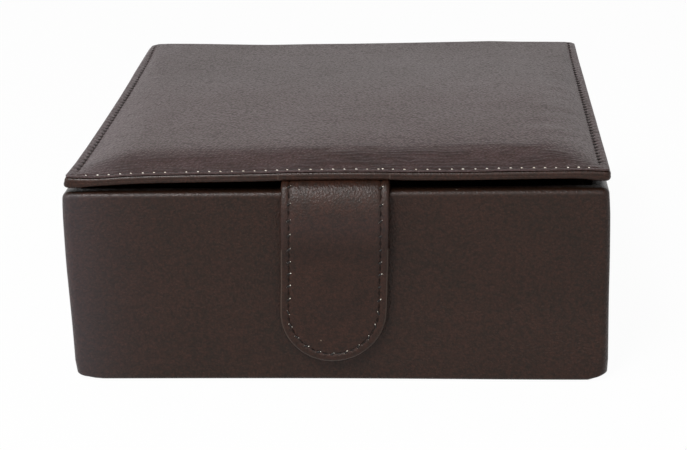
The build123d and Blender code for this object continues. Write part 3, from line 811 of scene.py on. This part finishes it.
def hang(across, run, height):
    """Carries a place of the flat tab along its line. Height is measured from the side against the box."""
    if run < flat_run:
        y = tongue_y - run + flat_shift * run / flat_run
        return across + tab_offset, y, root_low[2] + height * pressed
    if run < hang_start:
        turn = (run - flat_run) / fold_run * fold_turn
        radius = inner_radius + height * (pressed + (1 - pressed) * turn)
        y = fold_y + flat_shift - radius * math.sin(turn)
        return across + tab_offset, y, fold_z + radius * math.cos(turn)
    fallen = run - hang_start
    slant = tab_offset - 1.35 * ease(fallen / 60) - 0.012 * fallen
    tilt = np.interp(fallen, falls, lean)
    y = fold_y + np.interp(fallen, falls, line_y) - height * math.cos(tilt)
    return across + slant, y, fold_z + np.interp(fallen, falls, line_z) + height * math.sin(tilt)


def tab_surface(across, run, inset):
    """Height of the tab's outer side above its inner side."""
    height = tab_thickness - 0.5 * lip(inset, 0.55)
    height -= 0.28 * bell(inset - row_inset, 0.3)
    height += 0.12 * ease((inset - 2.2) / 2.5)
    height += 0.7 * ease((9.8 - math.hypot(across, run - magnet_run)) / 4.2)
    dent = 0.1 * bell(run - magnet_run - 8.6, 0.5) * ease((11 - abs(across)) / 4)
    height -= dent * (1 + waver(across, 4, 4, 5))
    waves = 0.12 * waver(across, run, 2, 12) + 0.05 * waver(across, run, 9, 5)
    return height + ease((run - hang_start) / 8) * waves


# %% The tab's mesh
tab_steps = [0, 0.12, 0.35, 0.7, 1.2, 1.6, 1.85, 2.1, 2.35, 2.6, 3.1, 3.9, 5.0, 6.2, 7.6, 9.0, 10.6, 12.2]
across_places = between_edges(-tab_half, tab_half, tab_steps, [0.0])
runs = [0, 4, 8, 12.2, 13.6, 14.6, 17, flat_run, *np.linspace(flat_run, hang_start, 12)[1:]]
runs += [*np.linspace(hang_start, round_centre, 28)[1:], *(length - s for s in reversed(tab_steps))]
bent, flat = ([], []), ([], [])
for run in runs:
    for place in across_places:
        c, s, inset = place, run, tab_half - abs(place)
        past = run - round_centre
        if past > 0:
            inset = min(inset, length - run)
            if c != 0:
                shrink = max(abs(place), past) / math.hypot(place, past)
                c, s = place * shrink, round_centre + past * shrink
        inner = max(0.35 * lip(inset, 0.55), (tab_thickness - 1.0) * ease((14.4 - run) / 1.2))
        for side, height in enumerate((tab_surface(c, s, inset), inner)):
            bent[side].append(hang(c, s, height))
            flat[side].append((c, s, height))
outer, under = np.reshape(bent, (2, len(runs), len(across_places), 3))
tab_piece = sheet("tab_leather", outer, under, flat=flat[0] + flat[1])
# A painted highlight lightens the tab a little below its fold.
mark(tab_piece, "painted_sheen", lambda x, y, z: 0.22 * bell(z - 44, 4.5) * (y < -60))
# A band of painted shade darkens the tab lower down.
mark(tab_piece, "deep", lambda x, y, z: 0.3 * bell(z - 36, 2.4) * (y < -60))
place_piece(tab_piece, [tab_hide, edge_hide], None,
            ["tab_root", "tab_fold", "tab_front_leather", "tab_back_leather"])
flat_place = tab_piece.data.attributes["hide_place"].data
for polygon in tab_piece.data.polygons:
    c, s, _ = sum((flat_place[v].vector for v in polygon.vertices), Vector()) / len(polygon.vertices) / mm
    at_edge = tab_half - math.hypot(c, max(0.0, s - round_centre)) < 0.28
    polygon.material_index = int(at_edge and s > flat_run + 16)
# The fold is creased, and its colour is darkened there as painted shade.
crease_and_shade = tab_piece.data.attributes.new("crease_and_shade", "FLOAT", "POINT")
for spot, value in zip(flat_place, crease_and_shade.data):
    s = spot.vector[1] / mm
    value.value = 0.42 * ease((s - flat_run) / 3) * ease((hang_start + 7 - s) / 6)
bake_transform(tab_piece)
print("tab length in mm", round(length, 1), "of which it hangs", round(fold_z - tab_end, 1))

# %% [markdown]
# ## The tab's core
# The thin card between the plies curves with them. It could be drawn again, but the CAD solid has the
# right outline, so it is copied, cut into bands by level planes, and every band is moved onto the tab's
# line.

# %% Bent core
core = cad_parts["tab_stiffener"]
core_low, core_high = extent("tab_stiffener")
band = 1.5
work = bmesh.new()
work.from_mesh(core.data)
bmesh.ops.transform(work, matrix=core.matrix_world, verts=work.verts)
for z in np.arange(core_low[2] + 1, core_high[2] - 0.4, band):
    everything = work.verts[:] + work.edges[:] + work.faces[:]
    bmesh.ops.bisect_plane(work, geom=everything, plane_co=(0, 0, z * mm), plane_no=(0, 0, 1))
for vertex in work.verts:
    vertex.co.y += (np.interp(fall_to(vertex.co.z / mm), falls, line_y) + inner_radius) * mm
core_mesh = bpy.data.meshes.new("tab_core_bent")
work.to_mesh(core_mesh)
work.free()
place_piece(in_scene("tab_core_bent", core_mesh), [greyboard], "tab", ["tab_stiffener"])

# %% [markdown]
# ## The stitches
# A lock stitch shows a short arch of the upper thread between two holes, and a dot of the lower thread at
# each hole. A curve with a bevel could draw each one, but hundreds of curve objects are slow, so every
# row is one mesh: a small bent tube is written once as a list of points and copied to each place. The
# sewing was done by machine at 2.9 mm on the lid, with one long step and one doubled stitch, and at 3.6
# mm on the tab.

# %% A stitch and its dot
round_turns = np.linspace(0, 2 * math.pi, 9)[:-1]


def arch_points(length, width, rise_height, sink):
    """A thread that comes out of one hole and goes into the next, along X, with Z up."""
    rings = []
    for share in np.linspace(0, 1, 7):
        swell = math.sin(math.pi * share)
        middle = -sink + (rise_height + sink) * swell ** 0.6
        radius = width / 2 * (0.75 + 0.25 * swell)
        rings.append([((share - 0.5) * length, radius * math.cos(t), middle + radius * math.sin(t))
                      for t in round_turns])
    return np.array(rings)


def dot_points(size, slim):
    """The small knot of the lower thread in a hole, longer than it is wide."""
    rings = []
    for share in np.linspace(0.02, 0.98, 5):
        radius, z = size / 2 * math.sin(math.pi * share), -slim * size / 2 * math.cos(math.pi * share)
        rings.append([(radius * math.cos(t), slim * radius * math.sin(t), z) for t in round_turns])
    return np.array(rings)


def thread_row(name, stitches, dots, arch, dot, node, body=None):
    """One mesh with all the brown arches and pale dots of a row. Each has a place and three directions."""
    points, faces = [], []
    for shape, spots in ((arch, stitches), (dot, dots)):
        split = len(faces)
        for spot, along, aside, up in spots:
            faces += tube_faces(*shape.shape[:2], len(points))
            points += (spot + shape.reshape(-1, 3) @ np.array([along, aside, up])).tolist()
    piece = finish_mesh(name, points, faces)
    for index, polygon in enumerate(piece.data.polygons):
        polygon.material_index = int(index >= split)
    place_piece(piece, threads, body, [node])
    return piece


def turned(along, up, degrees):
    """Three directions for a stitch that is turned about its upward direction."""
    along, up = np.array(along, float), np.array(up, float)
    t = math.radians(degrees)
    first = along * math.cos(t) + np.cross(up, along) * math.sin(t)
    return first, np.cross(up, first), up


# %% Rows on the lid
holes = [-64.1, -61.1, -58.2, -55.2, -52.4, -49.3, -46.4, -43.5, -38.0, -35.0, -32.1, -29.2, -26.2,
         -23.3, -20.4, -17.5, -14.6, -12.0, -8.9, -6.0, -3.1, -0.2, 2.7, 5.7, 8.5, 11.4, 12.5, 15.1,
         18.0, 21.0, 23.9, 27.0, 30.1, 32.9, 36.1, 39.0, 42.0, 45.0, 47.8, 50.9, 53.7, 56.5, 59.5, 62.2,
         64.8]
doubled = 1.5
y = front + stitch_inset
stitches, dots = [], []
for a, b in zip(holes[:-1], holes[1:]):
    x = (a + b) / 2
    if b - a > doubled:
        spot = np.array((x, y, lid_top(x, y) + 0.02))
        stitches.append((spot, *turned((1, 0, 0), (0, 0, 1), 3 * waver(x, y, 1, 2))))
for x in holes:
    size = 0.2 * waver(x, y, 4, 1.7)
    spot = np.array((x, y + 0.1 + 0.3 * size, lid_top(x, y) + 0.12 + 0.3 * size))
    dots.append((spot, *turned((1, 0, 0), (0, -0.3, 0.95), -35 + 160 * size)))
thread_row("stitches_front", stitches, dots, arch_points(2.3, 0.36, 0.06, 0.35), dot_points(0.72, 0.55),
           "stitching_front", "lid")

for side, name, node in ((-1, "stitches_left", "stitching_left"), (1, "stitches_right", "stitching_right")):
    x = side * (lid_half - side_stitch)
    stitches, dots = [], []
    y = first_row + pitch / 2
    while y < back - roll - 2.5:
        hole = y + pitch / 2
        shift, at_hole = lid_shift(x, y), lid_top(x, hole)
        top = np.array((x + shift, y, lid_top(x, y) + 0.02))
        along, aside, up = turned((0, 1, 0), (0, 0, 1), side * 8 + 4 * waver(x, y, 3, 3))
        stitches.append((top - 0.1 * up, 0.75 * along, 0.7 * aside, up))
        slit = np.array((x + side * 0.1 + shift, hole, at_hole + 0.2))
        along, aside, up = turned((1, 0, 0), (0, 0, 1), side * 22 + 14 * waver(x, y, 5, 3))
        fade = 1 - 0.55 * ease((y - 20) / 40)
        stitches.append((slit - 0.1 * (1 - fade) * up, 0.75 * fade * along, 1.45 * fade * aside, 0.6 * up))
        if waver(x, y, 8, 4) > 0.35:
            knot = np.array((x + lid_shift(x, hole), hole, at_hole + 0.1))
            dots.append((knot, *turned((0, 1, 0), (0, 0, 1), 0)))
        y += pitch
    thread_row(name, stitches, dots, arch_points(2.5, 0.42, 0.02, 0.35), dot_points(0.36, 0.6), node, "lid")
    print(name, "has", len(stitches), "stitches")

# %% Row on the tab
tab_pitch = 3.62
row_half = tab_half - row_inset
row_start = flat_run - 4
straight = round_centre - row_start
round_end = straight + math.pi * row_half


def on_row(distance):
    """Place on the flat tab of a point of the stitch line, and the line's direction there."""
    if distance < straight:
        return -row_half, row_start + distance, (0.0, 1.0)
    if distance < round_end:
        t = (distance - straight) / row_half
        return -row_half * math.cos(t), round_centre + row_half * math.sin(t), (math.sin(t), math.cos(t))
    return row_half, round_centre - (distance - round_end), (0.0, -1.0)


def unit(direction):
    """The same direction with length 1."""
    return direction / np.linalg.norm(direction)


def frame_at(distance, lift):
    """The place of a stitch on the hanging tab, the direction of the row and the direction outwards."""
    c, s, (dc, ds) = on_row(distance)
    height = tab_surface(c, s, row_inset) + lift
    spot = np.array(hang(c, s, height))
    return spot, unit(hang(c + dc * 0.2, s + ds * 0.2, height) - spot), unit(hang(c, s, height + 0.2) - spot)


stitches, dots = [], []
for distance in np.arange(2.4, straight + round_end, tab_pitch):
    spot, ahead, up = frame_at(distance, 0.05)
    level = unit(np.array((1.0, 0.0, 0.0)) - up * up[0])
    along, aside, _ = turned(level, up, 32 + 16 * waver(distance, 2, 0, 3))
    if straight < distance < round_end:
        along, aside, _ = turned(ahead, up, 30)
    stitches.append((spot + 0.06 * up, along, 1.1 * aside, up))
    between, onward, outward = frame_at(distance + tab_pitch / 2, -0.02)
    stitches.append((between, 1.25 * onward, 0.5 * np.cross(outward, onward), outward))
    for end in (-1, 1):
        chance = waver(distance, 5 + 3 * end, 0, 2.3)
        if chance > -0.3 - 0.2 * end:
            size = (0.48 + 0.85 * abs(chance)) * (0.8 + 0.2 * end)
            dots.append((spot + along * end * 0.55 + up * 0.15, along * size, aside * size, up * size))
tab_row = thread_row("stitches_tab", stitches, dots, arch_points(1.5, 0.5, 0.08, 0.35), dot_points(0.6, 0.5),
                     "tab_stitching")
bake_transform(tab_row)
print("stitches on the tab:", len(stitches) // 2, "pale dots:", len(dots))

# %% [markdown]
# ## The lining
# The inside is lined with suede glued over thin card. The card stops below the rim, where the hem of the
# wall leather shows, and the floor's card is let in last, so its edges are rounded by the suede that is
# folded over them. A bevel would round them too, but evenly, where suede pulled over card swells a little
# from place to place.

# %% Wall liners
card_top, card_face = rim - 5.0, 1.8
lap = rim - rim_turn - 0.15
floor_low, floor_high = extent("floor_liner")


def wall_liner(name, node, half, trim, turn, centre):
    """A suede panel against one wall, built as if against the front wall and then turned into place."""
    heights = [floor_low[2], lap, lap + 0.12, *np.linspace(lap + 1.2, card_top - 0.6, 4)]
    heights += [card_top - 0.3, card_top - 0.1, card_top]
    outer, under = [], []
    for z, back_off in zip(heights, [0] * 7 + [0.05, 0.18, 0.42]):
        above = z > lap
        xs = np.linspace(-1, 1, 40) * (half - trim * above)
        face = card_face - back_off
        outer.append([(x, face + 0.05 * waver(x, turn, z, 13), z) for x in xs])
        under.append([(x, min((leather + 0.15) * above, face - 0.1), z) for x in xs])
    t = math.radians(turn)
    spin = np.array([[math.cos(t), math.sin(t), 0], [-math.sin(t), math.cos(t), 0], [0, 0, 1]])
    piece = sheet(name, *(np.array(grid) @ spin + (*centre, 0) for grid in (outer, under)))
    place_piece(piece, [suede], "box", [node])


long_half, short_half = box_half - wall, back - wall - card_face - 0.15
wall_liner("suede_front", "front_liner", long_half, leather + 0.15, 0, (0, front + wall))
wall_liner("suede_back", "back_liner", long_half, leather + 0.15, 180, (0, back - wall))
wall_liner("suede_left", "left_liner", short_half, 0, -90, (-box_half + wall, 0))
wall_liner("suede_right", "right_liner", short_half, 0, 90, (box_half - wall, 0))


# %% Floor, underside and lid lining
def soft_card(name, node, body, visible, hidden, radius, bow=None):
    """A card covered in suede: level, with its visible edges rounded over by the cover."""
    low, high = extent(node)
    steps = [0, radius * 0.1, radius * 0.35, radius * 0.7, radius * 1.1]
    xs = between_edges(low[0], high[0], steps, np.linspace(low[0] + 4, high[0] - 4, 34))
    ys = between_edges(low[1], high[1], steps, np.linspace(low[1] + 4, high[1] - 4, 36))
    inward = 1 if visible > hidden else -1
    face, rear = [], []
    for y in ys:
        for x in xs:
            inset = min(x - low[0], high[0] - x, y - low[1], high[1] - y)
            curve = radius - math.sqrt(max(0.0, radius ** 2 - max(0.0, radius - inset) ** 2))
            dimple = 0.05 * abs(waver(x, y, visible, 15)) * ease(inset / 5)
            lift = bow(x, y) if bow else 0.0
            face.append((x, y, visible - inward * (curve + dimple) + lift))
            rear.append((x, y, hidden + lift))
    grid = (len(ys), len(xs), 3)
    card = sheet(name, np.reshape(face, grid), np.reshape(rear, grid))
    place_piece(card, [suede], body, [node])


soft_card("suede_floor", "floor_liner", "box", floor_high[2], floor_low[2], 1.0)
base_low, base_high = extent("base_cover")
soft_card("suede_underside", "base_cover", "box", base_low[2], base_high[2], 0.5)
soft_card("suede_lid", "lid_lining", "lid", extent("lid_lining")[0][2], lid_base - 0.02, 0.5,
          bow=lambda x, y: lid_bend(x, y) * ease((back - y) / 60))

# %% [markdown]
# ## The inner hinge
# A strip of the same leather joins the lid to the back wall on the inside. It starts inside the wall,
# goes over the rim, crosses the gap beside the outer leather and ends under the lid's lining. It could be
# left out, since it shows only in an open box, but a lid that hangs on one leather alone wears through.

# %% Inner hinge strip
y_in, y_out, strip_round = back - wall - leather, back - leather - 0.7, 0.7
line = [(y_in, z, 0) for z in (rim - rim_turn, rim - 9, rim - 5, rim - 1.2)]
line += [(y_in + strip_round * (1 - math.cos(t)), rim - strip_round * (1 - math.sin(t)), math.degrees(t))
         for t in (0.5, 1.1, 1.57)]
line += [(y_in + 1.8, rim, 90), (y_out - 0.3, rim, 90)]
line += [(y_out, z, 0) for z in np.linspace(rim + 0.15, lid_base - 0.15, 8)]
line += [(y_out - run, lid_base, -90) for run in (0.3, 2.5, 5, 7)]
xs = np.linspace(-hinge_half + 0.1, hinge_half - 0.1, 60)
outer, under = [], []
for y, z, degrees in line:
    t = math.radians(degrees)
    deep = 0.68 if z > rim - 0.01 else 0.95
    outer.append([(x, y, z) for x in xs])
    under.append([(x, y + deep * math.cos(t), z - deep * math.sin(t)) for x in xs])
hinge_strip = sheet("inner_hinge_strip", outer, under)
place_piece(hinge_strip, [wall_hide], None, ["inner_hinge_lower", "inner_hinge_upper"])
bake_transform(hinge_strip)
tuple(hinge_start)
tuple(hinge_end)

# %% [markdown]
# ## Light and ground
# The photograph was taken in soft light on white. A softbox in front and high above, a little to the
# left, gives the top its even tone, a weaker one stands on the left, and a bright room fills the rest.
# The ground is white paper. Leather seen at a flat angle mirrors that room, which is why the lid looks
# greyer than the front. What the wax mirrors is brighter in front of the box, where a window would be,
# and dimmer overhead. A picture of a studio could light it, but a few nodes say what matters: how bright
# the room is straight ahead, all round and above.

# %% Softbox, room and ground
def softbox(name, spot, target, size, power):
    """A square lamp that faces a target."""
    data = bpy.data.lights.new(name, "AREA")
    data.size = size
    data.energy = power
    lamp = in_scene(name, data)
    lamp.location = spot
    lamp.rotation_euler = (Vector(target) - Vector(spot)).to_track_quat("-Z", "Y").to_euler()


softbox("softbox_front", (-0.3, -0.73, 1.0), (0, -0.05, 0.03), 0.36, 9.4)
softbox("softbox_left", (-0.75, -0.35, 0.5), (-0.05, -0.03, 0.03), 0.45, 2.2)
white = (1, 1, 1, 1)


def seen_by_eye(tree):
    """Two shares that are 1 for a ray straight from the camera, and for any ray that shows a surface."""
    ray = add(tree, "LightPath").node.outputs
    seen = add(tree, "Math", {"operation": "MAXIMUM", 0: ray["Is Camera Ray"], 1: ray["Is Glossy Ray"]})
    seen = add(tree, "Math", {"operation": "MAXIMUM", 0: seen, 1: ray["Is Transmission Ray"]})
    return ray["Is Camera Ray"], seen


room = bpy.data.worlds.new("bright_room")
room.use_nodes = True
tree = room.node_tree
tree.nodes.clear()
straight_on, seen = seen_by_eye(tree)
lighting = add(tree, "Background", {"Color": white, "Strength": 0.2})
outward = add(tree, "SeparateXYZ", {0: add(tree, "TexCoord", None, "Generated")}).node.outputs
overhead = add(tree, "MapRange", {0: outward["Z"], 1: 0.38, 2: 0.72, 3: 1.0, 4: 0.3})
ahead = add(tree, "MapRange", {0: outward["Y"], 1: -0.25, 2: -0.7})
upward = add(tree, "MapRange", {0: outward["Z"], 1: 0.02, 2: 0.45, 4: 1.6})
walls = add(tree, "Math", {"operation": "MULTIPLY_ADD", 0: upward, 1: ahead, 2: overhead})
strength = add(tree, "Mix", {0: straight_on, 2: walls, 3: 1.0})
backdrop = add(tree, "Background", {"Color": white, "Strength": strength})
add(tree, "OutputWorld", {0: add(tree, "MixShader", {0: seen, 1: lighting, 2: backdrop})})
scene.world = room

bpy.ops.mesh.primitive_plane_add(size=8.0, location=(0, 0, 0))
ground = bpy.context.object
ground.name = "ground_paper"
paper, tree = new_material("paper_white")
fibre = add(tree, "TexNoise", {"Scale": 400.0, "Detail": 2.0})
tone = add(tree, "Mix", {"data_type": "RGBA", 0: fibre, 6: linear("#f9f9f8"), 7: linear("#fdfdfc")})
matte = add(tree, "BsdfDiffuse", {"Color": tone})
glow = add(tree, "Emission", {"Color": white, "Strength": 1.0})
share = add(tree, "Math", {"operation": "MULTIPLY", 0: seen_by_eye(tree)[1], 1: 0.965})
add(tree, "OutputMaterial", {0: add(tree, "MixShader", {0: share, 1: matte, 2: glow})})
ground.data.materials.append(paper)
